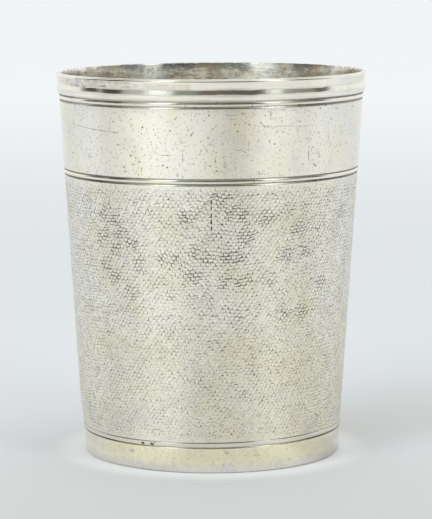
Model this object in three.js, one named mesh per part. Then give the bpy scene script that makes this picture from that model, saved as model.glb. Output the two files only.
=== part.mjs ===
// A tapering silver beaker: a one-walled drinking cup, built from seven soldered pieces.
// Millimetres, +Z up. The origin is the centre of the foot, on the surface that the cup stands on.
// Every piece is turned about Z from a profile of [radius, height] points.

import * as THREE from 'three';

// The wall
const HEIGHT = 90;                  // foot to rim
const FOOT_RADIUS = 30.34;          // outside of the cone, carried down to the standing surface
const MOUTH_RADIUS = 36.03;         // outside of the cone at the rim
const WALL_THICKNESS = 0.65;        // the sheet, measured along the radius
const FOOT_CORNER_RADIUS = 1.6;     // outside bend where the wall turns in under the cup
const FLANGE_WIDTH = 2.3;           // flat ring that the cup stands on

// The base
const BASE_THICKNESS = 0.8;
const SOLDER_FILLET_LEG = 1.3;      // how far the solder runs up the wall and in over the base
const SOLDER_FILLET_EDGE = 0.1;     // blunt edge of the solder at the end of each leg

// The lip moulding
const RIM_STAND = 0.6;              // bare wall edge left above the moulding
const LIP_TORUS_HEIGHT = 1.5;       // the round lower member
const LIP_TORUS_PROJECTION = 0.42;  // how far it stands out from the wall
const LIP_COVE_HEIGHT = 1.05;       // slope from the round member up to the narrowest place
const LIP_NECK_PROJECTION = 0.14;   // metal left at that place
const LIP_FLARE_HEIGHT = 1.7;       // from there to the upper edge
const LIP_EDGE_PROJECTION = 0.46;   // how far the flared upper edge stands out

// The reed wires
const REED_WIDTH = 0.86;
const REED_THICKNESS = 0.28;        // flat back to crown
const REED_SEAT_DEPTH = 0.2;        // cut into the wall
const REED_SIDE_GAP = 0.15;         // open groove left on each side of a wire
const LIP_LAND = 0.15;              // wall between the upper seat and the moulding
const NECK_BAND_HEIGHT = 17.3;      // middle of the upper reed to middle of the middle reed
const FOOT_BAND_HEIGHT = 6.7;       // standing surface to middle of the lower reed

// Joints and facets
const SOLDER_GAP = 0.05;            // film of solder between two pieces
const SEGMENTS = 64;                // facets round the axis, the same on all pieces so that they lie parallel
const ARC_STEPS = 6;                // facets on a quarter bend or a half-round crown

const lipTop = HEIGHT - RIM_STAND;
const lipNeck = lipTop - LIP_FLARE_HEIGHT;
const lipFoot = lipNeck - LIP_COVE_HEIGHT - LIP_TORUS_HEIGHT;
const seatHalfWidth = REED_WIDTH / 2 + REED_SIDE_GAP;
const upperReed = lipFoot - LIP_LAND - seatHalfWidth;
const middleReed = upperReed - NECK_BAND_HEIGHT;
const lowerReed = FOOT_BAND_HEIGHT;

const taper = (MOUTH_RADIUS - FOOT_RADIUS) / HEIGHT;
const taperAngle = Math.atan(taper);

const outerRadius = (z) => FOOT_RADIUS + taper * z;
const innerRadius = (z) => outerRadius(z) - WALL_THICKNESS;

// The foot's bend is drawn about one centre for the outside, the inside and the base that nests in it.
// The bend starts pointing straight down and ends where it is tangent to the cone.
const bendCentre = {
  r: outerRadius(FOOT_CORNER_RADIUS) - FOOT_CORNER_RADIUS / Math.cos(taperAngle),
  z: FOOT_CORNER_RADIUS,
};
const flangeInnerRadius = bendCentre.r - FLANGE_WIDTH;
const sheetAcross = WALL_THICKNESS * Math.cos(taperAngle);
const insideBendRadius = FOOT_CORNER_RADIUS - sheetAcross;

function arc(centreR, centreZ, radius, fromAngle, toAngle, steps = ARC_STEPS) {
  const points = [];
  for (let i = 0; i <= steps; i += 1) {
    const angle = fromAngle + ((toAngle - fromAngle) * i) / steps;
    points.push([centreR + radius * Math.cos(angle), centreZ + radius * Math.sin(angle)]);
  }
  return points;
}

function footBend(radius, toAngle = -taperAngle) {
  return arc(bendCentre.r, bendCentre.z, radius, -Math.PI / 2, toAngle);
}

// A closed solid turned about Z. The profile runs anticlockwise, with the radius to the right and the height up.
function turned(name, material, profile, closed) {
  const points = profile.map(([r, z]) => new THREE.Vector2(r, z));
  if (closed) points.push(points[0].clone());
  const geometry = new THREE.LatheGeometry(points, SEGMENTS);
  geometry.rotateX(Math.PI / 2);
  const mesh = new THREE.Mesh(geometry, material);
  mesh.name = name;
  return mesh;
}

const wornGilt = new THREE.MeshStandardMaterial({ color: 0xd9d5bd, metalness: 1, roughness: 0.32 });
const brightSilver = new THREE.MeshStandardMaterial({ color: 0xe2e0d6, metalness: 1, roughness: 0.25 });
const paleSolder = new THREE.MeshStandardMaterial({ color: 0xb9b6a8, metalness: 1, roughness: 0.45 });

// The wall's outside at a reed: down into the seat, along its floor and out again.
function seat(middle) {
  const low = middle - seatHalfWidth;
  const high = middle + seatHalfWidth;
  return [
    [outerRadius(low), low],
    [outerRadius(low) - REED_SEAT_DEPTH, low],
    [outerRadius(high) - REED_SEAT_DEPTH, high],
    [outerRadius(high), high],
  ];
}

function bodyWall() {
  const rimRounding = WALL_THICKNESS / 2;
  const shoulder = HEIGHT - rimRounding;
  const rimMiddle = outerRadius(shoulder) - rimRounding;
  const insideBend = footBend(insideBendRadius).reverse();
  const profile = [
    [flangeInnerRadius, 0],
    ...footBend(FOOT_CORNER_RADIUS),
    ...seat(lowerReed),
    ...seat(middleReed),
    ...seat(upperReed),
    ...arc(rimMiddle, shoulder, rimRounding, 0, Math.PI),
    ...insideBend,
    [flangeInnerRadius, sheetAcross],
  ];
  return turned('body_wall', wornGilt, profile, true);
}

// The base nests in the inside of the foot's bend, one film of solder away from it.
const baseBottom = sheetAcross + SOLDER_GAP;
const baseTop = baseBottom + BASE_THICKNESS;
const baseInset = SOLDER_GAP / Math.cos(taperAngle);

function baseDisc() {
  const bendRadius = insideBendRadius - SOLDER_GAP;
  const tangentHeight = bendCentre.z - bendRadius * Math.sin(taperAngle);
  const pastBend = baseTop > tangentHeight;
  const endAngle = pastBend ? -taperAngle : Math.asin((baseTop - bendCentre.z) / bendRadius);
  const profile = [[0, baseBottom], ...footBend(bendRadius, endAngle)];
  if (pastBend) profile.push([innerRadius(baseTop) - baseInset, baseTop]);
  profile.push([0, baseTop]);
  return turned('base_disc', brightSilver, profile, false);
}

// A concave ring of solder, one leg up the wall and one leg in over the base.
function baseSolderFillet() {
  const low = Math.max(baseTop, bendCentre.z) + SOLDER_GAP;
  const foot = baseTop + SOLDER_GAP;
  const high = low + SOLDER_FILLET_LEG;
  const wallFace = (z) => innerRadius(z) - baseInset;
  const wallEdge = wallFace(high) - SOLDER_FILLET_EDGE;
  const baseEdge = wallEdge - SOLDER_FILLET_LEG;
  const hollow = high - foot - SOLDER_FILLET_EDGE;
  const face = [];
  for (let i = 0; i <= ARC_STEPS; i += 1) {
    const angle = (Math.PI / 2) * (i / ARC_STEPS);
    face.push([
      baseEdge + SOLDER_FILLET_LEG * Math.sin(angle),
      high - hollow * Math.cos(angle),
    ]);
  }
  const profile = [
    [baseEdge, foot],
    [bendCentre.r, foot],
    [wallFace(low), low],
    [wallFace(high), high],
    ...face.reverse(),
  ];
  return turned('base_solder_fillet', paleSolder, profile, true);
}

// A round member below, a hollow neck above it, and a flared edge at the top.
function lipMoulding() {
  const back = (z) => outerRadius(z) + SOLDER_GAP;
  const torus = [];
  for (let i = 1; i < ARC_STEPS; i += 1) {
    const angle = Math.PI * (i / ARC_STEPS);
    const z = lipFoot + (LIP_TORUS_HEIGHT / 2) * (1 - Math.cos(angle));
    torus.push([back(z) + LIP_TORUS_PROJECTION * Math.sqrt(Math.sin(angle)), z]);
  }
  const flare = [];
  for (let i = 0; i <= ARC_STEPS; i += 1) {
    const share = i / ARC_STEPS;
    const z = lipNeck + LIP_FLARE_HEIGHT * share;
    const rise = share * share * (LIP_EDGE_PROJECTION - LIP_NECK_PROJECTION);
    flare.push([back(z) + LIP_NECK_PROJECTION + rise, z]);
  }
  const profile = [
    [back(lipFoot), lipFoot],
    ...torus,
    ...flare,
    [back(lipTop), lipTop],
  ];
  return turned('lip_moulding', wornGilt, profile, true);
}

// A half-round wire lying on the floor of its seat.
function reedWire(name, middle) {
  const floor = (z) => outerRadius(z) - REED_SEAT_DEPTH + SOLDER_GAP;
  const half = REED_WIDTH / 2;
  const crownRadius = (half * half + REED_THICKNESS * REED_THICKNESS) / (2 * REED_THICKNESS);
  const halfAngle = Math.asin(Math.min(1, half / crownRadius));
  const profile = [];
  for (let i = 0; i <= ARC_STEPS; i += 1) {
    const angle = halfAngle * ((2 * i) / ARC_STEPS - 1);
    const z = middle + crownRadius * Math.sin(angle);
    profile.push([floor(z) + REED_THICKNESS - crownRadius * (1 - Math.cos(angle)), z]);
  }
  return turned(name, brightSilver, profile, true);
}

const beaker = new THREE.Group();
beaker.add(
  bodyWall(),
  baseDisc(),
  baseSolderFillet(),
  lipMoulding(),
  reedWire('upper_reed_wire', upperReed),
  reedWire('middle_reed_wire', middleReed),
  reedWire('lower_reed_wire', lowerReed),
);

export default beaker;
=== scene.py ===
# %% [markdown]
# A punched silver beaker
#
# The cup is one tapering wall of silver with a flat base soldered in, a moulded lip, three reed
# wires, and a broad zone of little punched pearls that makers call snakeskin. Old gilding is left
# on the plain bands and has worn thin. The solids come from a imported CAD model, which is loaded
# here as a fixed frame. Everything that follows only dresses that frame: same place, same size,
# finer surface.

# %% Load the frame
import math

import bmesh
import bpy
from mathutils import Matrix, Vector, noise


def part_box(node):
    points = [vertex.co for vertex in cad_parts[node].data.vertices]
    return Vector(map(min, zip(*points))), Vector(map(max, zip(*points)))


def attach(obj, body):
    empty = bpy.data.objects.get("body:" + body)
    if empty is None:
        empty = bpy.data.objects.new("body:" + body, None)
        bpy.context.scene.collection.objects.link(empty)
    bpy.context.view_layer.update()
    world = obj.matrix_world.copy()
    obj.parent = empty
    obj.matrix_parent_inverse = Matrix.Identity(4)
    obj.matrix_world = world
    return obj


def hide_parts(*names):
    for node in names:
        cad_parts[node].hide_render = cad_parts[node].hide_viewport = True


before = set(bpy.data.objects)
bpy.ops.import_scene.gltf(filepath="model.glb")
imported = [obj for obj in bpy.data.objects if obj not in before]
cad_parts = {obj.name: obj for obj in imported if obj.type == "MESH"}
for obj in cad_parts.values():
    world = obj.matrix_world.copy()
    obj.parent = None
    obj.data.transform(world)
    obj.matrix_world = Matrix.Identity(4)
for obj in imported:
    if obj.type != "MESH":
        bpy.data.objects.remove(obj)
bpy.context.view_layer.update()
print("frame holds", sorted(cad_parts))

# %% [markdown]
# Sizes read from the frame
#
# A dressed piece has to sit exactly where its solid is, so its size is measured on the solid and
# not typed again. The wall is a cone: the upper and lower reed wires lie on it, and two points are
# enough to say how wide the cone is at any height. Only what a box can't tell, such as the
# thickness of the sheet, is written down as a number.

# %% Measure the cup
MM = 0.001
SHEET = 0.65 * MM
SOLDER_FILM = 0.05 * MM
REED_PROUD = 0.13 * MM
SEAT_DEPTH = 0.2 * MM
FOOT_BEND = 1.6 * MM
FLANGE_WIDTH = 2.3 * MM

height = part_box("body_wall")[1].z


def reed_band(name):
    """Lower edge, middle, upper edge and crown radius of a reed wire."""
    low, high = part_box(name)
    return low.z, (low.z + high.z) / 2, high.z, high.x


reed_names = ("lower_reed_wire", "middle_reed_wire", "upper_reed_wire")
bands = {name: reed_band(name) for name in reed_names}
_, low_z, _, low_crown = bands["lower_reed_wire"]
_, high_z, _, high_crown = bands["upper_reed_wire"]
taper = (high_crown - low_crown) / (high_z - low_z)
lean = math.atan(taper)


def outside(z):
    """Radius of the wall's outer face at a height."""
    return low_crown - REED_PROUD + taper * (z - low_z)


def inside(z):
    """Radius of the wall's inner face at a height."""
    return outside(z) - SHEET


print("cone: foot", round(outside(0) / MM, 2), "mouth", round(outside(height) / MM, 2), "mm")

# %% [markdown]
# The camera
#
# The photograph was taken from a little above the rim with a long lens, which keeps the sides
# nearly straight. A long lens could be imitated with an orthographic camera, but the mouth would
# then be too flat an ellipse, so this is a perspective camera at the real distance. Its place and
# tilt were worked out from the ellipses of the rim, the reeds and the foot.

# %% Place the camera
CAMERA_PLACE = Vector((1.15, -593.1, 123.4)) * MM
CAMERA_TILT = math.radians(7.513)
CAMERA_LENS = 174.9

camera = bpy.data.objects.new("photo_camera", bpy.data.cameras.new("photo_camera"))
camera.data.sensor_width = 36
camera.data.lens = CAMERA_LENS
camera.location = CAMERA_PLACE
camera.rotation_euler = (math.pi / 2 - CAMERA_TILT, 0, 0)
camera.data.clip_start = 0.05
camera.data.clip_end = 60
bpy.context.scene.collection.objects.link(camera)
bpy.context.scene.camera = camera
print("camera", [round(x, 3) for x in camera.location])

# %% [markdown]
# Writing shader maths as Python
#
# A material in Blender is a graph of nodes, and a long graph is hard to read. The two small
# classes below let a material be written as ordinary expressions: a Field wraps one output socket,
# and adding or multiplying fields adds the Math nodes that do it. Everything that isn't
# arithmetic, such as a noise or a mix of colours, goes through one method, node.


# %% A field and the graph it belongs to
class Field:
    """One output socket of a node graph."""

    def __init__(self, graph, socket):
        self.graph = graph
        self.socket = socket

    def math(self, operation, *values):
        return self.graph.node("Math", {"operation": operation}, dict(enumerate(values)))

    def __add__(self, other):
        return self.math("ADD", self, other)

    def __radd__(self, other):
        return self.math("ADD", other, self)

    def __sub__(self, other):
        return self.math("SUBTRACT", self, other)

    def __rsub__(self, other):
        return self.math("SUBTRACT", other, self)

    def __mul__(self, other):
        return self.math("MULTIPLY", self, other)

    def __rmul__(self, other):
        return self.math("MULTIPLY", other, self)

    def __abs__(self):
        return self.math("ABSOLUTE", self)

    def at_most(self, limit):
        return self.math("MINIMUM", self, limit)

    def smooth(self, start, end):
        """An S-curve from 0 at start to 1 at end. Start may be above end."""
        rising = start < end
        sockets = {"Value": self, "From Min": min(start, end), "From Max": max(start, end)}
        sockets.update({"To Min": 0.0 if rising else 1.0, "To Max": 1.0 if rising else 0.0})
        return self.graph.node("MapRange", {"interpolation_type": "SMOOTHSTEP"}, sockets)

    def band(self, low, high, soft):
        """1 between low and high, 0 outside, with soft edges."""
        return self.smooth(low - soft, low + soft) * self.smooth(high + soft, high - soft)


class Graph:
    """The nodes of a material or of the world."""

    def __init__(self, tree):
        self.tree = tree

    def link(self, value, socket):
        if isinstance(value, Field):
            self.tree.links.new(value.socket, socket)
        else:
            socket.default_value = value

    def node(self, kind, settings=None, sockets=None, output=0):
        made = self.tree.nodes.new("ShaderNode" + kind)
        for name, value in (settings or {}).items():
            setattr(made, name, value)
        for name, value in (sockets or {}).items():
            self.link(value, made.inputs[name])
        return Field(self, made.outputs[output])

    def mix(self, factor, first, second):
        """A colour between two colours. Sockets 6 and 7 are the Mix node's colours."""
        return self.node("Mix", {"data_type": "RGBA"}, {0: factor, 6: first, 7: second}, 2)

    def vector(self, operation, first, second):
        return self.node("VectorMath", {"operation": operation}, {0: first, 1: second})

    def parts(self, vector):
        made = self.node("SeparateXYZ", sockets={0: vector})
        return [Field(self, socket) for socket in made.socket.node.outputs]


print("shader helpers", Field.__name__, "and", Graph.__name__)

# %% [markdown]
# The table
#
# The photograph shows a pale sweep that is a little darker near the front and nearly white far
# away. It glows close round the foot, where the cup throws light back, and a soft shade lies to
# the right behind the cup. One flat grid is enough for it: its colour is painted by distance and
# by bearing from the cup's axis, where bearing 0 is the camera's side and 90 is the right.
#
# Polished metal has hardly any colour of its own: it shows what is round it, and the upright parts
# of this cup lean out, so they show the table. The pools, beams and dim patches that the studio
# laid there are painted as areas that only reflections see, which the Light Path node tells apart.

# %% Floor
FLOOR_SIZE = 24.0
FLOOR_FRONT = (0.545, 0.56, 0.548, 1)
FLOOR_MIDDLE = (0.72, 0.74, 0.755, 1)
FLOOR_FAR = (0.98, 0.995, 1.0, 1)
FLOOR_POOL = (0.64, 0.655, 0.645, 1)
FLOOR_DIM = (0.465, 0.465, 0.43, 1)
FLOOR_BEAM = (0.72, 0.74, 0.725, 1)
FLOOR_SIDE = (0.80, 0.825, 0.85, 1)
FLOOR_GLOW = (0.81, 0.83, 0.825, 1)
FLOOR_SHADE = (0.56, 0.56, 0.50, 1)

# A fade is a pair of distances in metres: where it is nothing, and where it is full.
FRONT_TO_MIDDLE = (-0.12, 0.07)
MIDDLE_TO_FAR = (0.0, 1.3)
GLOW_FADE = (0.040, 0.031)
SHADE_BEARING = (108, 148, 16)
SHADE_FADE = (0.13, 0.07)
SHADE_SHARE = 0.38
BEAM_FADES = ((0.024, 0.048), (0.167, 0.143))

# Colour, share, bearing in degrees (from, to, softness) and fades of each area in the reflections.
MIRRORED_AREAS = {
    "pool in front": (FLOOR_POOL, 1.0, (-90, 90, 10), ((0.09, 0.16),)),
    "dim middle": (FLOOR_DIM, 1.0, (4, 29, 13), ((0.21, 0.30),)),
    "pale left side": (FLOOR_SIDE, 1.0, (-140, -92, 12), ((0.18, 0.25),)),
    "pale right side": (FLOOR_SIDE, 1.0, (80, 140, 12), ((0.19, 0.25),)),
    "left beam": (FLOOR_BEAM, 0.4, (-52, -20, 10), ((0.27, 0.22),)),
    "left beam near the cup": (FLOOR_GLOW, 0.55, (-52, -20, 10), BEAM_FADES),
    "right beam near the cup": (FLOOR_GLOW, 0.55, (30, 56, 10), BEAM_FADES),
    "dim place at the foot": (FLOOR_DIM, 0.45, (54, 90, 9), ((0.065, 0.048),)),
}

floor_mesh = bmesh.new()
bmesh.ops.create_grid(floor_mesh, x_segments=8, y_segments=8, size=FLOOR_SIZE / 2)
floor_data = bpy.data.meshes.new("floor")
floor_mesh.to_mesh(floor_data)
floor_mesh.free()
floor = bpy.data.objects.new("floor", floor_data)
bpy.context.scene.collection.objects.link(floor)

paper = bpy.data.materials.new("pale_paper")
paper.use_nodes = True
sheet = Graph(paper.node_tree)
floor_x, floor_y, _ = sheet.parts(sheet.node("TexCoord", output="Object"))
floor_square = floor_x * floor_x + floor_y * floor_y
floor_reach = floor_square.math("SQRT", floor_square)
bearing = floor_x.math("ARCTAN2", floor_x, 0.0 - floor_y) * math.degrees(1)
paper_colour = sheet.mix(floor_y.smooth(*FRONT_TO_MIDDLE), FLOOR_FRONT, FLOOR_MIDDLE)
shade = bearing.band(*SHADE_BEARING) * floor_reach.smooth(*SHADE_FADE)
paper_colour = sheet.mix(shade * SHADE_SHARE, paper_colour, FLOOR_SHADE)
paper_colour = sheet.mix(floor_reach.smooth(*GLOW_FADE), paper_colour, FLOOR_GLOW)
paper_colour = sheet.mix(floor_y.smooth(*MIDDLE_TO_FAR), paper_colour, FLOOR_FAR)

mirrored = paper_colour
for area_colour, share, directions, fades in MIRRORED_AREAS.values():
    area = bearing.band(*directions) * share
    for fade in fades:
        area = area * floor_reach.smooth(*fade)
    mirrored = sheet.mix(area, mirrored, area_colour)
in_metal = sheet.node("LightPath", output="Is Glossy Ray")
paper_colour = sheet.mix(in_metal, paper_colour, mirrored)
paper_shader = paper.node_tree.nodes["Principled BSDF"]
sheet.link(paper_colour, paper_shader.inputs["Base Color"])
paper_shader.inputs["Roughness"].default_value = 0.9
paper_shader.inputs["Specular IOR Level"].default_value = 0.1
floor_data.materials.append(paper)
print("floor", FLOOR_SIZE, "m square, in reflections with", list(MIRRORED_AREAS))

# %% [markdown]
# The room in the reflections
#
# Only what faces up a little, the hollow of the lip and the upper half of each wire, shows the
# room in front of the cup. A picture of a studio could be wrapped round the scene, but a short
# table can be read and changed: each thing stands between two bearings and has one colour low down
# and another higher up. Only reflections see the room. Everything else gets an even light.

# %% World
EVEN_LIGHT = (0.90, 0.92, 0.93, 1)
SURROUND = (0.90, 0.92, 0.92, 1)
UNLIT_ROOM = (0.095, 0.10, 0.09, 1)
THING_EDGE = 1.5
UPPER_PART = (0.22, 0.45)
RIGHT_END = (92, 104)
LEFT_END = (-107, -117)
OVERHEAD = (0.74, 0.88)
LOW_DOWN = (0.085, 0.045)
ROOM_THINGS = {
    "dark corner": (-107, -70, (0.05, 0.045, 0.035, 1), (0.06, 0.06, 0.055, 1)),
    "white post": (-92, -89.5, (0.8, 0.8, 0.76, 1), (0.06, 0.06, 0.055, 1)),
    "pale wall": (-70, -50, (0.46, 0.47, 0.44, 1), (0.40, 0.41, 0.40, 1)),
    "left soft box": (-50, -30, (0.93, 1.04, 1.06, 1), (1.5, 1.58, 1.7, 1)),
    "grey curtain": (-28, -9, (0.25, 0.31, 0.29, 1), (0.14, 0.15, 0.14, 1)),
    "dark middle": (-8, 11, (0.15, 0.13, 0.10, 1), (0.11, 0.11, 0.10, 1)),
    "right soft box": (41, 55, (0.80, 0.86, 0.82, 1), (1.5, 1.58, 1.7, 1)),
    "leaning screen": (55, 66, (0.25, 0.26, 0.23, 1), (1.4, 1.48, 1.6, 1)),
    "right wall": (66, 84, (0.25, 0.26, 0.23, 1), (0.20, 0.21, 0.19, 1)),
}

world = bpy.data.worlds.new("studio")
bpy.context.scene.world = world
world.use_nodes = True
room = Graph(world.node_tree)
to_side, to_back, to_top = room.parts(room.node("TexCoord", output="Generated"))
azimuth = to_side.math("ARCTAN2", to_side, 0.0 - to_back) * math.degrees(1)
high_up = to_top.smooth(*UPPER_PART)
room_colour = UNLIT_ROOM
for start, end, low_colour, high_colour in ROOM_THINGS.values():
    thing = room.mix(high_up, low_colour, high_colour)
    room_colour = room.mix(azimuth.band(start, end, THING_EDGE), room_colour, thing)
at_the_sides = azimuth.smooth(*RIGHT_END) + azimuth.smooth(*LEFT_END)
open_space = (at_the_sides + to_top.smooth(*OVERHEAD) + to_top.smooth(*LOW_DOWN)).at_most(1.0)
reflection = room.mix(open_space, room_colour, SURROUND)
glossy = room.node("LightPath", output="Is Glossy Ray")
backdrop = world.node_tree.nodes["Background"]
room.link(room.mix(glossy, EVEN_LIGHT, reflection), backdrop.inputs["Color"])
backdrop.inputs["Strength"].default_value = 1.0
bpy.context.scene.view_settings.view_transform = "Standard"
print("room holds", list(ROOM_THINGS))

# %% [markdown]
# The lamps
#
# Two soft boxes stand left and right of the camera. An area lamp gives the same broad, soft light,
# and its strength is given for each square metre, so that a change of size keeps its brightness.
# The metal already shows both boxes in the painted room, so the lamps are hidden from reflections:
# otherwise every highlight would be there twice.


# %% Lamps
def lamp(name, azimuth_degrees, elevation, distance, size, radiance):
    """A rectangular lamp that faces the middle of the cup. Azimuth 0 is the camera's side."""
    turn, rise = math.radians(azimuth_degrees), math.radians(elevation)
    level = math.cos(rise)
    away = Vector((math.sin(turn) * level, -math.cos(turn) * level, math.sin(rise)))
    light = bpy.data.lights.new(name, "AREA")
    light.shape = "RECTANGLE"
    light.size, light.size_y = size
    light.energy = radiance * math.pi * size[0] * size[1]
    made = bpy.data.objects.new(name, light)
    made.location = Vector((0, 0, height / 2)) + away * distance
    made.rotation_euler = away.to_track_quat("Z", "Y").to_euler()
    made.visible_camera = False
    made.visible_glossy = False
    bpy.context.scene.collection.objects.link(made)


lamp("left_lamp", -42, 25, 0.6, (0.24, 0.42), 4.15)
lamp("right_lamp", 46, 25, 0.6, (0.20, 0.40), 3.4)

# %% [markdown]
# Turning a profile, and leaving it hand made
#
# Every plain piece of the cup is round, so it is drawn as half of its section and spun about the
# axis. A perfect spin looks like a machine part. A raised and planished cup is a little wavy, its
# scribed lines aren't quite level, and the foot of this one is knocked in a little on the left. So
# each finished mesh is moved by one gentle function of place. All the pieces go through the same
# function, so what fits together stays together.

# %% Helpers for turned pieces
ROUND_STEPS = 300
PROFILE_SPACING = 1.3 * MM
PLANISH_SIZE = 11 * MM
PLANISH_DEPTH = 0.04 * MM
MERGE = 0.002 * MM
KNOCK = 0.42 * MM
KNOCK_TOP = 14 * MM
KNOCK_FADE = 8 * MM
STANDING_FADE = 4 * MM
LINE_SLOPES = ((0.0, 0.0), (0.003, 0.0), (0.0067, 0.0115), (0.067, 0.0068), (0.09, 0.006))


def line_slope(z):
    """How far the maker's level lines climb to the right at a height."""
    for (z0, s0), (z1, s1) in zip(LINE_SLOPES, LINE_SLOPES[1:]):
        if z <= z1:
            return s0 + (s1 - s0) * (z - z0) / (z1 - z0)
    return LINE_SLOPES[-1][1]


def by_hand(place):
    """A point of the perfect cup, moved to where the maker's hand left it."""
    out = Vector((place.x, place.y, 0)).normalized()
    wave = noise.noise(place / PLANISH_SIZE) + 0.3 * noise.noise(place / (0.4 * PLANISH_SIZE))
    standing = min(1.0, place.z / STANDING_FADE)
    low_left = max(0.0, -out.x) ** 2 * max(0.0, min(1.0, (KNOCK_TOP - place.z) / KNOCK_FADE))
    moved = place + out * (PLANISH_DEPTH * standing * wave - KNOCK * low_left)
    return moved + Vector((0, 0, place.x * line_slope(place.z)))


def arc(centre, radius, start, end, steps):
    """Points (radius, height) on an arc, with angles in radians from the outward direction."""
    angles = [start + (end - start) * i / steps for i in range(steps + 1)]
    return [(centre[0] + radius * math.cos(a), centre[1] + radius * math.sin(a)) for a in angles]


def turned(profile, closed=True, sweep=math.tau, start=0.0, spacing=PROFILE_SPACING):
    """A bmesh spun from (radius, height) points. A sweep under a full turn is capped at both ends."""
    bm = bmesh.new()
    verts = [bm.verts.new((0, -radius, z)) for radius, z in profile]
    follows = verts[1:] + verts[:1] if closed else verts[1:]
    edges = [bm.edges.new(pair) for pair in zip(verts, follows)]
    for edge in edges:
        cuts = int(edge.calc_length() / spacing)
        if cuts:
            bmesh.ops.subdivide_edges(bm, edges=[edge], cuts=cuts)
    if start:
        bmesh.ops.rotate(bm, verts=bm.verts, cent=(0, 0, 0), matrix=Matrix.Rotation(start, 3, "Z"))
    whole = abs(sweep - math.tau) < 1e-9
    bmesh.ops.spin(
        bm, geom=bm.verts[:] + bm.edges[:], cent=(0, 0, 0), axis=(0, 0, 1), dvec=(0, 0, 0),
        angle=sweep, steps=ROUND_STEPS, use_merge=whole,
    )
    bmesh.ops.remove_doubles(bm, verts=bm.verts, dist=MERGE)
    if not whole:
        bmesh.ops.holes_fill(bm, edges=[e for e in bm.edges if e.is_boundary], sides=0)
    bmesh.ops.recalc_face_normals(bm, faces=bm.faces)
    return bm


def piece(name, bm, materials, node, sharp=40):
    """Turns a bmesh into a finished piece that rides on the cup in place of its CAD node."""
    for vert in bm.verts:
        vert.co = by_hand(vert.co)
    for face in bm.faces:
        face.smooth = True
    data = bpy.data.meshes.new(name)
    bm.to_mesh(data)
    bm.free()
    data.set_sharp_from_angle(angle=math.radians(sharp))
    for material in materials:
        data.materials.append(material)
    made = bpy.data.objects.new(name, data)
    bpy.context.scene.collection.objects.link(made)
    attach(made, "root")
    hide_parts(node)
    print(name, len(data.polygons), "faces")


def radius_of(vert):
    return math.hypot(vert.co.x, vert.co.y)


print("turned pieces have", ROUND_STEPS, "steps round and waves", round(PLANISH_SIZE / MM), "mm long")

# %% [markdown]
# One metal for the whole cup
#
# All the pieces are old silver with remains of gilding, so one class holds what they share: a
# place on the cup, soft noises, specks, strokes, the tarnish that stays wherever polish never
# reached, and the painted shade in the seats, under the lip and along the wires. The mesh says
# where both are with a value called grime_and_shade, on its points or on the corners of its faces,
# and an Attribute node reads it. Pits and scratches could be modelled, but at a tenth of a
# millimetre they are only marks, so they are drawn in the shader.

# %% The metal
SILVER = (0.945, 0.90, 0.81, 1)
PALE_GOLD = (0.935, 0.865, 0.66, 1)
LILAC_TARNISH = (0.76, 0.72, 0.71, 1)
BLACK_TARNISH = (0.07, 0.06, 0.045, 1)


class Metal(Graph):
    """A metal material with the cup's own coordinates."""

    def __init__(self, name):
        self.material = bpy.data.materials.new(name)
        self.material.use_nodes = True
        super().__init__(self.material.node_tree)
        self.shader = self.material.node_tree.nodes["Principled BSDF"]
        self.shader.inputs["Metallic"].default_value = 1.0
        self.place = self.node("TexCoord", output="Object")
        self.x, self.y, self.z = self.parts(self.place)
        self.turn = self.x.math("ARCTAN2", self.x, 0.0 - self.y)
        # Tarnish, and painted shade in the seats, under the lip and along the wires.
        self.grime_and_shade = self.node("Attribute", {"attribute_name": "grime_and_shade"}, output="Fac")

    def stretched(self, size, stretch):
        return self.vector("MULTIPLY", self.place, tuple(1 / (size * s) for s in stretch))

    def noise(self, size, detail=2.0, stretch=(1, 1, 1)):
        """Soft noise with blobs about size metres across, drawn out along an axis by stretch."""
        where = self.stretched(size, stretch)
        return self.node("TexNoise", sockets={"Vector": where, "Scale": 1.0, "Detail": detail})

    def specks(self, spacing, radius, seed, stretch=(1, 1, 1)):
        """Scattered specks, spacing metres apart and up to radius metres wide."""
        where = self.vector("ADD", self.stretched(spacing, stretch), (seed, seed, seed))
        ragged = self.node("TexNoise", sockets={"Vector": where, "Scale": 5.0}, output="Color")
        where = self.vector("ADD", where, self.vector("MULTIPLY", ragged, (0.25, 0.25, 0.25)))
        cells = self.node("TexVoronoi", sockets={"Vector": where, "Scale": 1.0})
        return cells.smooth(radius / spacing, 0.5 * radius / spacing)

    def stroke(self, start, end, width):
        """A straight mark between two (azimuth in degrees, height in mm) points of the cup."""
        radius = outside(start[1] * MM)
        ends = [Vector((math.radians(a) * radius, z * MM)) for a, z in (start, end)]
        length = (ends[1] - ends[0]).length
        along = (ends[1] - ends[0]) / length
        across = self.turn * radius - ends[0].x
        up = self.z - ends[0].y
        reach = across * along.x + up * along.y
        past = abs(reach - length / 2) - length / 2
        beyond = past.math("MAXIMUM", past, 0.0)
        beside = across * along.y - up * along.x
        far = (beside * beside + beyond * beyond) * (1 / width**2)
        return far.smooth(1.0, 0.12)

    def finish(self, colour, roughness, dirt_and_shade, relief, depth):
        """Links the surface: dirt and painted shade darken and dull it, and relief stands up to depth
        metres.
        """
        self.link(self.mix(dirt_and_shade, colour, BLACK_TARNISH), self.shader.inputs["Base Color"])
        self.link((roughness + dirt_and_shade * 0.25).at_most(0.9), self.shader.inputs["Roughness"])
        bump = self.node("Bump", sockets={"Strength": 0.5, "Distance": depth, "Height": relief})
        self.link(bump, self.shader.inputs["Normal"])
        return self.material


print("metals share silver", SILVER[:3], "and pale gold", PALE_GOLD[:3])

# %% [markdown]
# Worn gilding
#
# The plain bands were gilt and have been polished for centuries. What is left is pale silver with
# a warm bloom, yellower on the foot, a lilac-grey edge where the cup stands, small black pits, and
# fine scratches both ways. A few marks of this very cup are drawn where they are.

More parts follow.
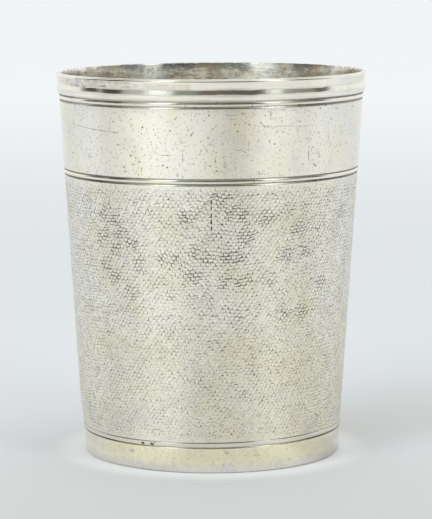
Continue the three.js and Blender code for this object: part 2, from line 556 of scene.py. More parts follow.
# %% Plain bands
FOOT_GOLD = (0.985, 0.93, 0.66, 1)
FOOT_BAND = (0.0068, 0.0055)
LIP_BAND = (0.0848, 0.0854)
PIT_WIDTH = 0.24 * MM

# Scratches and stains: both ends as (azimuth in degrees, height in mm), width and strength.
BAND_MARKS = (
    ((-64.6, 78.8), (-50.0, 78.0), 0.11 * MM, 0.45),
    ((-50.0, 78.0), (-36.3, 77.6), 0.14 * MM, 0.6),
    ((18.8, 79.5), (38.1, 79.1), 0.10 * MM, 0.4),
    ((5.8, 82.1), (16.0, 82.0), 0.12 * MM, 0.35),
    ((8.8, 74.1), (10.7, 74.3), 0.14 * MM, 0.5),
    ((10.7, 74.3), (12.9, 73.7), 0.14 * MM, 0.5),
    ((39.0, 73.4), (39.2, 71.1), 0.15 * MM, 0.6),
    ((42.0, 70.4), (43.0, 69.9), 0.26 * MM, 0.8),
    ((-7.3, 77.5), (-6.2, 78.4), 0.16 * MM, 0.6),
    ((-10.3, 73.4), (-10.3, 71.7), 0.13 * MM, 0.5),
    ((-27.8, 72.2), (-27.4, 69.9), 0.12 * MM, 0.35),
    ((-53.4, 71.5), (-50.8, 71.6), 0.14 * MM, 0.5),
    ((-18.5, 72.9), (-16.2, 73.0), 0.11 * MM, 0.4),
    ((-66.0, 88.4), (-8.0, 88.2), 0.9 * MM, 0.2),
    ((-66.0, 88.4), (-44.0, 88.2), 0.9 * MM, 0.16),
    ((-58.0, 89.2), (-30.0, 88.9), 0.3 * MM, 0.3),
    ((-63.0, 87.6), (-52.0, 87.5), 0.25 * MM, 0.4),
    ((-44.5, 87.9), (-41.0, 88.0), 0.25 * MM, 0.4),
    ((-33.5, 88.0), (-30.0, 88.0), 0.22 * MM, 0.3),
    ((-37.2, 4.0), (-36.4, 4.1), 0.60 * MM, 0.25),
    ((6.2, 4.9), (8.0, 4.8), 0.42 * MM, 0.28),
    ((19.4, 4.0), (20.8, 4.0), 0.55 * MM, 0.25),
)
PITS = (
    (-33.8, 68.9), (-34.2, 69.9), (-31.1, 72.6), (-16.2, 70.3), (-14.9, 78.5), (-25.7, 79.1), (-0.3, 70.7),
    (8.7, 80.0), (13.9, 79.9), (9.6, 78.4), (1.6, 71.7), (2.1, 69.6), (23.9, 75.4), (43.8, 82.9),
)


def worn_gilding():
    metal = Metal("worn_gilding")
    on_foot = metal.z.smooth(*FOOT_BAND)
    on_lip = metal.z.smooth(*LIP_BAND)
    patches = metal.noise(8 * MM, 4.0, (1, 1, 1.6))
    colour = metal.mix(patches.smooth(0.42, 0.7) * 0.6, SILVER, PALE_GOLD)
    mottle = metal.noise(1.5 * MM, 5.0)
    aside = abs(metal.turn)
    kept_gold = aside.smooth(1.2, 0.8) + aside.smooth(1.9, 2.2)
    gilt = on_foot * kept_gold * (0.55 + mottle.smooth(0.34, 0.6) * 0.45)
    colour = metal.mix(gilt, colour, FOOT_GOLD)
    edge = (metal.z - mottle * 0.003).smooth(0.0016, -0.0006)
    bloom = metal.noise(4 * MM, 4.0).smooth(0.48, 0.72)
    colour = metal.mix((bloom * 0.3 + edge * 0.8).at_most(1.0), colour, LILAC_TARNISH)
    crowded = 0.85 + metal.noise(9 * MM, 3.0).smooth(0.38, 0.6) * 0.35
    crowded = crowded * (1.0 - (on_foot + on_lip) * 0.75)
    fine = metal.specks(0.7 * MM, 0.23 * MM, 0.0) * 0.27
    coarse = metal.specks(1.7 * MM, 0.33 * MM, 0.3) * 0.33
    ticks = metal.specks(1.4 * MM, 0.22 * MM, 0.7, (1, 1, 4)) * 0.28
    dashes = metal.specks(1.4 * MM, 0.20 * MM, 0.2, (5, 5, 1)) * 0.28
    dirt_and_shade = (fine + coarse + ticks + dashes) * crowded
    dirt_and_shade = dirt_and_shade + on_foot * metal.noise(0.55 * MM, 3.0).smooth(0.54, 0.72) * 0.22
    worn_through = 0.4 + metal.noise(1.1 * MM, 2.0).smooth(0.35, 0.6) * 0.6
    for start, end, width, strength in BAND_MARKS:
        dirt_and_shade = dirt_and_shade + metal.stroke(start, end, width) * worn_through * strength
    for turn, z in PITS:
        dirt_and_shade = dirt_and_shade + metal.stroke((turn, z), (turn + 0.1, z), PIT_WIDTH) * 0.7
    # The seats and the underside of the lip add tarnish and painted shade.
    dirt_and_shade = (dirt_and_shade + metal.grime_and_shade * 0.6).at_most(0.92)
    grain = metal.noise(0.6 * MM, 3.0)
    roughness = 0.13 - on_lip * 0.04 + metal.noise(3 * MM, 3.0) * 0.14
    return metal.finish(colour, roughness, dirt_and_shade, grain - dirt_and_shade, 0.012 * MM)


plain_finish = worn_gilding()
print("made", plain_finish.name)

# %% [markdown]
# The inside
#
# Inside, the gilding is less polished: brown, grey and olive clouds with bright flecks where the
# metal shows. It is a separate stretch of faces, so a second material slot on the wall is simpler
# to follow than one material with a mask.

# %% Inside finish
BROWN_GILDING = (1.0, 0.93, 0.78, 1)
GREY_CLOUD = (0.90, 0.90, 0.86, 1)
UMBER_STREAK = (0.45, 0.38, 0.27, 1)
PALE_TAN = (1.0, 0.95, 0.84, 1)
WARM_BROWN = (0.74, 0.61, 0.42, 1)
OLIVE_CLOUD = (0.62, 0.58, 0.45, 1)
PAINTED_RIM_REFLECTION = (0.40, 0.43, 0.44, 1)
BARE_SILVER = (1.0, 0.98, 0.94, 1)

# Clouds near the rim: degrees from the back of the cup, from and to, and the colour between them.
INSIDE_CLOUDS = (
    (-88, -57, BARE_SILVER),
    (-53, -40, BROWN_GILDING),
    (-29, -21, BARE_SILVER),
    (-14, -4, PALE_TAN),
    (-2, 5, OLIVE_CLOUD),
    (13, 18, BROWN_GILDING),
    (20, 31, GREY_CLOUD),
    (34, 42, OLIVE_CLOUD),
    (40, 50, WARM_BROWN),
    (52, 59, BARE_SILVER),
    (66, 82, OLIVE_CLOUD),
    (83, 100, UMBER_STREAK),
)
# Places along the inner top edge where a painted reflection of the dark room lies, in degrees from the
# back.
RIM_REFLECTION_PLACES = ((-37, -31), (-20, -5), (4, 16), (33, 40))


def clouded_inside():
    metal = Metal("clouded_inside")
    clouds = metal.noise(6 * MM, 5.0, (1, 1, 0.6))
    colour = metal.mix(clouds.smooth(0.36, 0.68), BROWN_GILDING, GREY_CLOUD)
    ragged = metal.noise(2.5 * MM, 5.0) - 0.5
    behind = metal.x.math("ARCTAN2", metal.x, metal.y) * math.degrees(1) + ragged * 22
    near_rim = (metal.z - ragged * 0.01).smooth(0.068, 0.078)
    for start, end, cloud in INSIDE_CLOUDS:
        colour = metal.mix(behind.band(start, end, 2.5) * near_rim * 0.75, colour, cloud)
    # A painted reflection of the dark room lies along the top edge inside, in slate grey.
    rim_reflection = (metal.z - ragged * 0.004).smooth(0.0879, 0.0888)
    for start, end in RIM_REFLECTION_PLACES:
        colour = metal.mix(behind.band(start, end, 2.0) * rim_reflection * 0.8, colour, PAINTED_RIM_REFLECTION)
    streaks = metal.noise(1.0 * MM, 5.0, (4, 4, 0.5)).smooth(0.46, 0.66) * 0.34
    mottle = metal.noise(2.4 * MM, 4.0, (1.3, 1.3, 0.8)).smooth(0.46, 0.64) * 0.62
    less_rubbed = (0.15 + abs(behind).smooth(160, 115) * 0.85) * (0.4 + near_rim * 0.6)
    colour = metal.mix((streaks + mottle).at_most(0.9) * less_rubbed, colour, UMBER_STREAK)
    flecks = metal.noise(0.6 * MM, 4.0, (1.6, 1.6, 0.8)).smooth(0.54, 0.63)
    worn = metal.noise(5 * MM, 3.0).smooth(0.4, 0.65)
    colour = metal.mix(flecks * (0.4 + worn * 0.6), colour, BARE_SILVER)
    stains = metal.noise(0.9 * MM, 5.0).smooth(0.57, 0.74) * 0.35
    roughness = 0.14 + clouds * 0.12
    return metal.finish(colour, roughness, stains, clouds, 0.03 * MM)


inside_finish = clouded_inside()
print("made", inside_finish.name)

# %% [markdown]
# The wall
#
# The wall is one sheet: flat flange and rounded foot below, a straight cone, and a rounded rim.
# Three shallow seats are cut round it for the reed wires. The lower lip of each seat has been
# rubbed round, and it catches the room's dark parts and lights. The punched zone is let in between
# two of the seats. The whole section is a closed outline, which the spin turns into a closed shell
# with a real inside.

# %% Model the wall
ZONE_LAND = 0.12 * MM
ZONE_SKIN = 0.24 * MM

# Gap below the wire, gap above it, and radius of the seat's rubbed lower lip.
SEAT_GAPS = {
    "lower_reed_wire": (0.23 * MM, 0.09 * MM, 0.46 * MM),
    "middle_reed_wire": (0.20 * MM, 0.22 * MM, 0.80 * MM),
    "upper_reed_wire": (0.21 * MM, 0.36 * MM, 0.90 * MM),
}

# Soil and painted shade on the front and at the sides, and the turns left and right where the sides start.
SEAT_SOIL_AND_SHADE = {
    "lower_reed_wire": (0.6, 1.5, 0.65, 0.65),
    "middle_reed_wire": (1.0, 1.35, 0.65, 0.6),
    "upper_reed_wire": (0.55, 1.2, 0.9, 0.45),
}
SIDE_FADE = 0.25
BEND_STEPS = 8
RIM_STEPS = 10
SHOULDER_STEPS = 6
FOOT_EDGE = 0.70 * MM

bend_centre = (outside(FOOT_BEND) - FOOT_BEND / math.cos(lean), FOOT_BEND)
sheet_across = SHEET * math.cos(lean)
flange_edge = bend_centre[0] - FLANGE_WIDTH


def seat_edges(name):
    """Lower and upper edge of a wire's seat, and the start of its rubbed lower lip."""
    below, above, shoulder = SEAT_GAPS[name]
    low, _, high, _ = bands[name]
    turn = math.acos(1 - SEAT_DEPTH / shoulder)
    return low - below, high + above, low - below - shoulder * math.sin(turn)


def seat(name):
    """The wall's outline at a wire: a rounded lower lip, the floor and a square upper edge."""
    low, high, start = seat_edges(name)
    shoulder = SEAT_GAPS[name][2]
    turn = math.acos(1 - SEAT_DEPTH / shoulder)
    points = []
    for i in range(SHOULDER_STEPS + 1):
        bend = turn * i / SHOULDER_STEPS
        z = start + shoulder * math.sin(bend)
        points.append((outside(z) - shoulder * (1 - math.cos(bend)), z))
    return points + [(outside(high) - SEAT_DEPTH, high), (outside(high), high)]


zone_low = seat_edges("lower_reed_wire")[1] + ZONE_LAND
zone_high = seat_edges("middle_reed_wire")[2] - ZONE_LAND


def wall_profile():
    rim = SHEET / 2
    shoulder = height - rim
    bed = ZONE_SKIN + SOLDER_FILM
    edge_centre = (outside(FOOT_EDGE) - FOOT_EDGE / math.cos(lean), FOOT_EDGE)
    return [
        (flange_edge, 0),
        *arc(edge_centre, FOOT_EDGE, -math.pi / 2, -lean, BEND_STEPS),
        *seat("lower_reed_wire"),
        (outside(zone_low), zone_low),
        (outside(zone_low) - bed, zone_low),
        (outside(zone_high) - bed, zone_high),
        (outside(zone_high), zone_high),
        *seat("middle_reed_wire"),
        *seat("upper_reed_wire"),
        *arc((outside(shoulder) - rim, shoulder), rim, 0, math.pi, RIM_STEPS),
        *arc(bend_centre, FOOT_BEND - sheet_across, -lean, -math.pi / 2, BEND_STEPS),
        (flange_edge, sheet_across),
    ]


def unrubbed(vert, name):
    """0 on the front of the cup, which is rubbed most, and 1 at its sides and back."""
    start = SEAT_SOIL_AND_SHADE[name][2 if vert.co.x < 0 else 3]
    return max(0.0, min(1.0, (abs(math.atan2(vert.co.x, -vert.co.y)) - start) / SIDE_FADE))


def soil_and_shade_seats(bm):
    """Marks the floors of the seats with tarnish and painted shade, and the ends of their rubbed lips a
    little.
    """
    grime_and_shade = bm.verts.layers.float.new("grime_and_shade")
    for vert in bm.verts:
        depth = (outside(vert.co.z) - radius_of(vert)) / SEAT_DEPTH
        for name in reed_names:
            _, high, start = seat_edges(name)
            if start < vert.co.z < high + MERGE and depth < 1.3:
                front, sides = SEAT_SOIL_AND_SHADE[name][:2]
                kept = unrubbed(vert, name)
                # Tarnish and painted shade in the seat floor, between the wire and the wall.
                soiled_and_shaded = max(2.5 * depth - 1.4, 6 * depth * kept)
                vert[grime_and_shade] = max(0.0, min(front + (sides - front) * kept, soiled_and_shaded))


wall_bm = turned(wall_profile())
soil_and_shade_seats(wall_bm)
for face in wall_bm.faces:
    middle = face.calc_center_median()
    out = Vector((middle.x, middle.y, 0)).normalized()
    if middle.z > sheet_across and face.normal.dot(out) < -0.3:
        face.material_index = 1
piece("body_wall_shell", wall_bm, [plain_finish, inside_finish], "body_wall")

# %% [markdown]
# The snakeskin zone
#
# The zone is a honeycomb of small flat pearls, each ringed by the narrow groove of a ring punch.
# A bump texture would be quick, but its pearls would vanish at the edge of the cup and would not
# be in the mesh. So one column of six-sided cells is made with create_circle, to be spun round the
# cone as copies. The maker worked along slanting ranks, and no punch landed quite where it should,
# so the corners of the cells slip along the slant, drift and jitter. The vector noise that moves
# them has its seed set, because it would be different on each run otherwise.

# %% Lay out the cells
PUNCH_SEED = 5
CELLS_ROUND = 190
ROW_PITCH = 0.76 * MM
UNEVEN = 0.20 * MM
WANDER = 0.45 * MM
SLIDE = 0.75 * MM
SLANT = (0.6, 0.8)
FREEDOM_FADE = 1.4 * MM
RANK_WIDTH = 1.3 * MM
RANK_LENGTH = 12 * MM
DRIFT_SIZE = 8 * MM
JITTER_SIZE = 0.7 * MM

noise.seed_set(PUNCH_SEED)
rows_in_zone = 2 * round((zone_high - zone_low) / ROW_PITCH / 2)
row_pitch = (zone_high - zone_low) / rows_in_zone
cell_turn = math.tau / CELLS_ROUND


def cell_column(bm, rows):
    """One six-sided cell for each row, every second one half a cell to the side."""
    for row in rows:
        z = zone_low + (row + 0.5) * row_pitch
        width = outside(z) * cell_turn
        place = (
            Matrix.Rotation((row % 2) * cell_turn / 2, 4, "Z")
            @ Matrix.Translation((0, -outside(z), z))
            @ Matrix.Rotation(math.pi / 2, 4, "X")
            @ Matrix.Diagonal((width / math.sqrt(3), row_pitch * 2 / 3, 1, 1))
        )
        bmesh.ops.create_circle(bm, cap_ends=True, segments=6, radius=1, matrix=place)


def wandered(place):
    """Where a corner of a cell ends up: slanting rows slip, and every punch lands a little off."""
    inset = min(place.z - zone_low, zone_high - place.z)
    freedom = max(0.0, min(1.0, inset / FREEDOM_FADE))
    turn = math.atan2(place.x, -place.y)
    rank = SLANT[1] * turn * outside(place.z) - SLANT[0] * place.z
    whole = min(1.0, (math.pi - abs(turn)) / 0.2)
    slip = noise.noise(Vector((rank / RANK_WIDTH, place.z / RANK_LENGTH, 3.1))) * SLIDE * freedom * whole
    slant = Vector((math.cos(turn) * SLANT[0], math.sin(turn) * SLANT[0], SLANT[1]))
    drift = noise.noise_vector(place / DRIFT_SIZE) * WANDER * freedom
    return place + drift + slant * slip + noise.noise_vector(place / JITTER_SIZE) * UNEVEN


print("cells", CELLS_ROUND, "x", rows_in_zone, "row pitch", round(row_pitch / MM, 3), "mm")

# %% [markdown]
# How deep each punch went
#
# Some places were struck harder, and there every pearl has a whole dark ring. Elsewhere the cup has
# been rubbed so long that only the corners above the pearls are left, as rows of dark dots. Weak
# grooves that fall to the right are painted lighter than the others, as painted light and shade.
# A painted mask could say so, but a function of place is shorter: patches of noise, a list of the
# hard-struck places, the wear, and the painted light on the grooves.

# %% Judge the depth of a punch
FALLING_PAINTED_LIGHT = 0.5
LOWER_CORNERS = 0.35
DEEP_REACH = 2.4 * MM
EDGE_FADE = 1.5 * MM
PATCH_SIZE = 3.6 * MM
CLUSTER_SIZE = 1.5 * MM
SINGLE_SIZE = 0.45 * MM

# Hard-struck places: azimuth in degrees and height in mm.
DEEP_PUNCHED = (
    (-47.1, 53.5), (-40.4, 51.7), (-36.7, 54.6), (-32.8, 52.8), (-29.4, 48.5), (-18.7, 49.8), (-14.9, 49.8),
    (-9.1, 59.1), (-5.4, 51.2), (-1.3, 50.1), (-6.9, 45.6), (4.3, 64.0), (7.8, 60.1), (11.7, 59.4),
    (6.4, 50.4), (10.3, 49.6), (6.1, 44.7), (11.4, 44.1), (21.9, 58.5), (13.4, 54.5), (35.3, 55.2),
    (30.7, 49.6), (61.6, 57.7), (-45.0, 58.3), (-39.4, 58.1), (-45.2, 47.6), (-41.3, 44.7), (-33.0, 41.4),
    (39.8, 50.8), (50.0, 42.6), (30.3, 36.7), (38.7, 36.3), (23.8, 44.5),
)


def on_wall(azimuth_degrees, z):
    """The point of the wall's outside at an azimuth and a height."""
    turn = math.radians(azimuth_degrees)
    return Vector((outside(z) * math.sin(turn), -outside(z) * math.cos(turn), z))


deep_places = [on_wall(azimuth_degrees, z * MM) for azimuth_degrees, z in DEEP_PUNCHED]


def punch_strength(place, over_pearl):
    """How deep the punch went, patch by patch, and how much wear has left of it."""
    patch = 0.86 + 0.32 * noise.noise(place / PATCH_SIZE) + 0.4 * noise.noise(place / CLUSTER_SIZE)
    nearest = min((place - middle).length for middle in deep_places)
    deep = max(0.0, 1.0 - nearest / DEEP_REACH)
    side = max(0.0, min(1.0, (abs(math.atan2(place.x, -place.y)) - 0.6) / 0.4))
    patch += 1.1 * deep + 0.1 * side
    kept = 0.72 + 0.28 * (place.z - zone_low) / (zone_high - zone_low)
    single = 0.8 + 1.1 * noise.noise(place / SINGLE_SIZE)
    edge = min(1.0, min(place.z - zone_low, zone_high - place.z) / EDGE_FADE)
    strength = edge * max(0.2, min(1.2, patch * kept)) * max(0.1, min(1.3, single))
    return strength if over_pearl else strength * min(1.0, LOWER_CORNERS + deep)


def groove_painted_light(first, second):
    """How much lighter a weak groove is painted: most where it falls to the right."""
    turn = math.atan2(first.co.x, -first.co.y)
    along = second.co - first.co
    sideways = along.x * math.cos(turn) + along.y * math.sin(turn)
    fall = max(0.0, -sideways * along.z) / along.length_squared
    return FALLING_PAINTED_LIGHT * min(1.0, fall / 0.35)


print("struck hard in", len(deep_places), "places")

# %% [markdown]
# A ring of punched cells
#
# The cells are spun round as copies and merged where they meet. Each one is inset, which leaves the
# groove as a rim round it, and poked, which gives it a crown. The grooves are pushed in by what the
# punch did there, and the same depth is stored as tarnish on the corners of the groove's faces,
# painted lighter where a weak groove falls to the right, so that the pearl beside it stays clean.
# Then the open edges are turned in and joined behind.

# %% Make a ring of cells
GROOVE_WIDTH = 0.125 * MM
GROOVE_DEPTH = 0.07 * MM
CROWN_HEIGHT = 0.03 * MM
PEARL_LEVEL = 0.02 * MM


def settle(vert, depth):
    """Puts a point of the zone on the cone, that much below the plain bands."""
    flat = Vector((vert.co.x, vert.co.y, 0)).normalized() * (outside(vert.co.z) - depth)
    vert.co = Vector((flat.x, flat.y, vert.co.z))


def close_back(bm):
    """Turns the two open edges in and joins them, so that the skin is a closed ring."""
    open_edges = [edge for edge in bm.edges if edge.is_boundary]
    turned_in = bmesh.ops.extrude_edge_only(bm, edges=open_edges)["geom"]
    for vert in turned_in:
        if isinstance(vert, bmesh.types.BMVert):
            settle(vert, ZONE_SKIN)
    back = [e for e in turned_in if isinstance(e, bmesh.types.BMEdge) and e.is_boundary]
    bmesh.ops.bridge_loops(bm, edges=back)
    bmesh.ops.recalc_face_normals(bm, faces=bm.faces)


def punched_ring(rows):
    bm = bmesh.new()
    cell_column(bm, rows)
    bmesh.ops.spin(
        bm, geom=bm.verts[:] + bm.edges[:] + bm.faces[:], cent=(0, 0, 0), axis=(0, 0, 1),
        dvec=(0, 0, 0), angle=math.tau - cell_turn, steps=CELLS_ROUND - 1, use_duplicate=True,
    )
    bmesh.ops.remove_doubles(bm, verts=bm.verts, dist=0.2 * row_pitch)
    over_pearls = {vert for vert in bm.verts if (vert.co.z - zone_low) / row_pitch % 1 < 0.5}
    for vert in bm.verts:
        if vert.co.z < zone_low + row_pitch * 0.3:
            vert.co.z = zone_low
        elif vert.co.z > zone_high - row_pitch * 0.3:
            vert.co.z = zone_high
        else:
            vert.co = wandered(vert.co)
    grime_and_shade = bm.loops.layers.float.new("grime_and_shade")
    strength = {vert: punch_strength(vert.co, vert in over_pearls) for vert in bm.verts}
    cells = bm.faces[:]
    inset = bmesh.ops.inset_individual(bm, faces=cells, thickness=GROOVE_WIDTH, use_even_offset=True)
    crowns = bmesh.ops.poke(bm, faces=cells, center_mode="MEAN")["verts"]
    for vert in bm.verts:
        settle(vert, PEARL_LEVEL + GROOVE_DEPTH * strength.get(vert, 0.0))
    for groove in inset["faces"]:
        # Weak grooves that fall to the right lose some of their tarnish: painted light.
        painted_light = groove_painted_light(*[vert for vert in groove.verts if vert in strength])
        for loop in groove.loops:
            depth = strength.get(loop.vert, 0.0)
            loop[grime_and_shade] = depth * (1.0 - painted_light * max(0.0, 1.4 - depth))
    for vert in crowns:
        settle(vert, PEARL_LEVEL - CROWN_HEIGHT)
        for loop in vert.link_loops:
            loop[grime_and_shade] = max(0.0, 0.25 * noise.noise(vert.co / (0.8 * MM)))
    close_back(bm)
    return bm


print("grooves", round(GROOVE_WIDTH / MM, 3), "mm wide and about", round(GROOVE_DEPTH / MM, 3), "mm deep")

# %% [markdown]
# The punched finish
#
# Polish never reaches the bottom of a groove, so black tarnish stays there while the pearls are
# rubbed bright. The value stored on each corner, tarnish with painted light and shade on the weak
# grooves, darkens the metal, and a fine noise breaks it up. A dashed scratch and a few pits of this
# very cup are drawn where they are. The zone is made as two rings, one above the other, because one
# mesh would be heavy to edit.

# %% Punched finish
RUBBED_PEARL = (1.0, 0.955, 0.865, 1)

# Both ends of each mark as (azimuth in degrees, height in mm), and its width.
ZONE_MARKS = (
    ((0.2, 63.0), (0.2, 62.0), 0.17 * MM),
    ((0.2, 61.5), (0.2, 60.9), 0.17 * MM),
    ((0.2, 59.9), (0.2, 59.2), 0.20 * MM),
    ((0.2, 58.5), (0.2, 57.7), 0.22 * MM),
    ((0.2, 57.0), (0.2, 56.2), 0.20 * MM),
    ((4.1, 57.6), (4.3, 57.4), 0.22 * MM),
    ((3.7, 54.5), (3.9, 54.5), 0.22 * MM),
)


def punched_silver():
    metal = Metal("punched_silver")
    patches = metal.noise(9 * MM, 4.0)
    kept_gold = metal.z.smooth(0.042, 0.022) * 0.28 + metal.turn.band(0.3, 0.95, 0.15) * 0.25
    gilt = (patches.smooth(0.4, 0.7) * 0.6 + kept_gold).at_most(0.8)
    colour = metal.mix(gilt, RUBBED_PEARL, PALE_GOLD)
    bloom = metal.noise(5 * MM, 5.0).smooth(0.45, 0.7)
    colour = metal.mix(bloom * 0.3, colour, LILAC_TARNISH)
    # Tarnish in the grooves, painted lighter on weak grooves that fall to the right.
    ringed = metal.grime_and_shade.at_most(1.0)
    broken = 0.22 + metal.noise(0.42 * MM, 2.0).smooth(0.38, 0.58) * 0.78
    dirt_and_shade = ringed * (2.0 - ringed) * (broken + ringed * 0.4).at_most(1.0) * 0.95
    aside = abs(metal.turn).smooth(0.5, 1.0)
    dirt_and_shade = dirt_and_shade + metal.noise(0.26 * MM, 2.0).smooth(0.5, 0.74) * (0.42 + aside * 0.4)
    for start, end, width in ZONE_MARKS:
        dirt_and_shade = dirt_and_shade + metal.stroke(start, end, width) * 0.9
    grain = metal.noise(0.35 * MM, 3.0)
    return metal.finish(colour, 0.20 + patches * 0.1, dirt_and_shade.at_most(0.92), grain, 0.03 * MM)


punched_finish = punched_silver()
half = rows_in_zone // 2
zone_rings = {"punched_zone_lower": range(half), "punched_zone_upper": range(half, rows_in_zone)}
for name, rows in zone_rings.items():
    piece(name, punched_ring(rows), [punched_finish], "body_wall", sharp=75)

# %% [markdown]
# The lip moulding
#
# The lip is a drawn strip of silver: a bulge below, a slope and a hollow above it, a flare and a
# rounded bead at the top. The slope faces a little upwards, so it shows the dark room as a streak,
# broken where the soft boxes are. Its angle was chosen so that the streak is as tall as in the
# photograph. The strip was drawn and soldered by hand, so its lines wobble a little between the
# foot of the bulge and the bead.

# %% Model the lip
BULGE_OUT = 0.42 * MM
BULGE_HALF = 1.05 * MM
SLOPE_IN = 0.25
FLARE_OUT = 0.133
HOLLOW_START = 2.2 * MM
HOLLOW_RADIUS = 2.0 * MM
BEAD_START = 4.1 * MM
BEAD_RADIUS = 0.5 * MM
LIP_STEPS = 10
LIP_SPACING = 0.4 * MM
LIP_WOBBLE = 0.13 * MM

lip_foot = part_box("lip_moulding")[0].z


def lip_profile():
    into, out = math.atan(SLOPE_IN), math.atan(FLARE_OUT)
    bulge_end = math.atan(SLOPE_IN * BULGE_HALF / BULGE_OUT)
    points = []
    for i in range(LIP_STEPS + 1):
        turn = -math.pi / 2 + (bulge_end + math.pi / 2) * i / LIP_STEPS
        points.append((BULGE_OUT * math.cos(turn), BULGE_HALF * (1 + math.sin(turn))))
    stand = points[-1][0] - SLOPE_IN * (HOLLOW_START - points[-1][1])
    centre = (stand + HOLLOW_RADIUS * math.cos(into), HOLLOW_START + HOLLOW_RADIUS * math.sin(into))
    points += arc(centre, HOLLOW_RADIUS, math.pi + into, math.pi - out, LIP_STEPS)
    stand = points[-1][0] + FLARE_OUT * (BEAD_START - points[-1][1])
    centre = (stand - BEAD_RADIUS * math.cos(out), BEAD_START + BEAD_RADIUS * math.sin(out))
    points += arc(centre, BEAD_RADIUS, -out, math.acos(-centre[0] / BEAD_RADIUS), LIP_STEPS)
    return [(outside(lip_foot + z) + SOLDER_FILM + stand, lip_foot + z) for stand, z in points]


lip_bm = turned(lip_profile(), spacing=LIP_SPACING)
lip_grime_and_shade = lip_bm.verts.layers.float.new("grime_and_shade")
for vert in lip_bm.verts:
    rise = vert.co.z - lip_foot
    # Tarnish and painted shade darken the underside of the bulge, where it meets the upper reed.
    vert[lip_grime_and_shade] = max(0.0, 0.2 - rise / (0.5 * MM))
    free = max(0.0, min(1.0, rise / (0.8 * MM), (BEAD_START - rise) / (0.6 * MM)))
    wobble = noise.noise(vert.co / (4.0 * MM)) + 0.6 * noise.noise(vert.co / (2.0 * MM))
    vert.co.z += LIP_WOBBLE * free * wobble
piece("lip_ring", lip_bm, [plain_finish], "lip_moulding")

# %% [markdown]
# The reed wires
#
# Each reed is a half-round wire bent into a hoop, laid in its seat and soldered. Its two ends meet
# in a butt joint, which shows as a fine tick across the wire. So the wire's section is spun
# through a little less than a full turn, and both ends are capped. The lower wire has been worn
# flat by handling. Tarnish and painted shade lie along the wires' edges, where they sink into the
# seats, and more of it at the sides of the cup.

# %% Model the reeds
REED_THICKNESS = 0.28 * MM
JOINT_GAP = 0.14 * MM
REED_STEPS = 12
REED_EDGE = 0.03 * MM
REED_TAN = (0.84, 0.78, 0.69, 1)
REED_SPOTS = (-30.4, -26.0)
REED_SOIL_AND_SHADE = 0.12 * MM
SIDE_SOIL = 0.06 * MM
REED_JOINTS = {"upper_reed_wire": 15, "middle_reed_wire": 16.2, "lower_reed_wire": 160}

# Radius of the crown, where its crest lies across the wire, and how far the wire is spread.
REED_CROWNS = {
    "upper_reed_wire": (1.4 * MM, 0.22, 0.0),
    "middle_reed_wire": (1.4 * MM, 0.22, 0.0),
    "lower_reed_wire": (3.0 * MM, 0.45, 0.07 * MM),
}


def reed_silver():
    metal = Metal("bright_reed")
    patches = metal.noise(6 * MM, 3.0)
    colour = metal.mix(patches.smooth(0.45, 0.7), SILVER, PALE_GOLD)
    near_foot = metal.z.smooth(0.012, 0.009)
    colour = metal.mix(near_foot * 0.8, colour, REED_TAN)
    # Tarnish and painted shade along the wire's edges.
    dirt_and_shade = metal.specks(2.2 * MM, 0.26 * MM, 0.5) * 0.6 + metal.grime_and_shade
    for azimuth_degrees in REED_SPOTS:
        ends = (azimuth_degrees - 0.3, 6.4), (azimuth_degrees + 0.3, 6.3)
        spot = metal.stroke(*ends, 0.38 * MM)
        dirt_and_shade = dirt_and_shade + spot * 0.9
    grain = metal.noise(0.8 * MM, 2.0)
    return metal.finish(colour, 0.12 + patches * 0.1, dirt_and_shade.at_most(0.92), grain, 0.01 * MM)


def seat_floor(z):
    """Radius at which a wire's flat back lies in its seat."""
    return outside(z) - SEAT_DEPTH + SOLDER_FILM


def reed_profile(name):
    """A low crown whose crest lies near the wire's lower edge, on a flat back."""
    crown, crest, spread = REED_CROWNS[name]
    low, _, high, _ = bands[name]
    low = low - spread
    points = [(seat_floor(low), low)]
    for i in range(REED_STEPS + 1):
        z = low + (high - low) * i / REED_STEPS
        fall = (z - low - crest * (high - low)) ** 2 / (2 * crown)
        worn = REED_EDGE if i in (0, REED_STEPS) else 0.0
        points.append((seat_floor(z) + REED_THICKNESS - fall - worn, z))
    return points + [(seat_floor(high), high)]


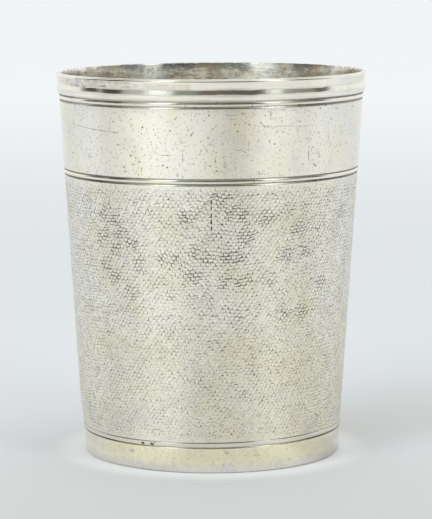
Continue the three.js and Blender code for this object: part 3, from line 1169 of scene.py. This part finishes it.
reed_finish = reed_silver()
for name in reed_names:
    gap_turn = JOINT_GAP / bands[name][3]
    start = math.radians(REED_JOINTS[name]) + gap_turn / 2
    bm = turned(reed_profile(name), sweep=math.tau - gap_turn, start=start, spacing=1.0)
    grime_and_shade = bm.verts.layers.float.new("grime_and_shade")
    for vert in bm.verts:
        kept = unrubbed(vert, name)
        # Tarnish and painted shade where the wire's edges sink into the seat, more at the sides of the cup.
        depth = outside(vert.co.z) - radius_of(vert) + SIDE_SOIL * kept
        vert[grime_and_shade] = max(0.0, min(0.6 + 0.3 * kept, depth / REED_SOIL_AND_SHADE))
    piece(name.replace("_wire", "_hoop"), bm, [reed_finish], name)

# %% [markdown]
# Base and solder
#
# The base is a flat disc that lies on the turned-in flange, and a fillet of hard solder seals it
# inside. Both are turned as the rest is. The disc has a rounded edge that nests in the foot's bend.

# %% Model the base and its solder
FILLET_EDGE = 0.1 * MM
FILLET_LEG = 1.3 * MM
FILLET_STEPS = 10
BASE_SILVER = (0.78, 0.75, 0.66, 1)
SOLDER_GREY = (0.62, 0.60, 0.55, 1)


def base_profile():
    low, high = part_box("base_disc")
    bend = FOOT_BEND - sheet_across - SOLDER_FILM
    end = math.asin((high.z - bend_centre[1]) / bend)
    return [(0, low.z), *arc(bend_centre, bend, -math.pi / 2, end, BEND_STEPS), (0, high.z)]


def fillet_profile():
    low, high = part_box("base_solder_fillet")
    film = SOLDER_FILM / math.cos(lean)
    wall_edge = inside(high.z) - film - FILLET_EDGE
    rise = high.z - low.z - FILLET_EDGE
    hollow = []
    for i in range(FILLET_STEPS, -1, -1):
        turn = math.pi / 2 * i / FILLET_STEPS
        hollow.append((wall_edge - FILLET_LEG * (1 - math.sin(turn)), high.z - rise * math.cos(turn)))
    start = bend_centre[1] + SOLDER_FILM
    return [
        (wall_edge - FILLET_LEG, low.z),
        (bend_centre[0], low.z),
        (inside(start) - film, start),
        (inside(high.z) - film, high.z),
        *hollow,
    ]


def dull_metal(name, colour, roughness):
    metal = Metal(name)
    clouds = metal.noise(6 * MM, 4.0)
    clouded = metal.mix(clouds.smooth(0.4, 0.65), colour, GREY_CLOUD)
    stains = metal.noise(3.0 * MM, 5.0).smooth(0.5, 0.85) * 0.45
    return metal.finish(clouded, roughness + clouds * 0.2, stains, metal.noise(4 * MM), 0.1 * MM)


base_finish = dull_metal("planished_base", BASE_SILVER, 0.22)
solder_finish = dull_metal("dull_solder", SOLDER_GREY, 0.4)
piece("base_plate", turned(base_profile(), closed=False), [base_finish], "base_disc")
piece("base_fillet", turned(fillet_profile()), [solder_finish], "base_solder_fillet")
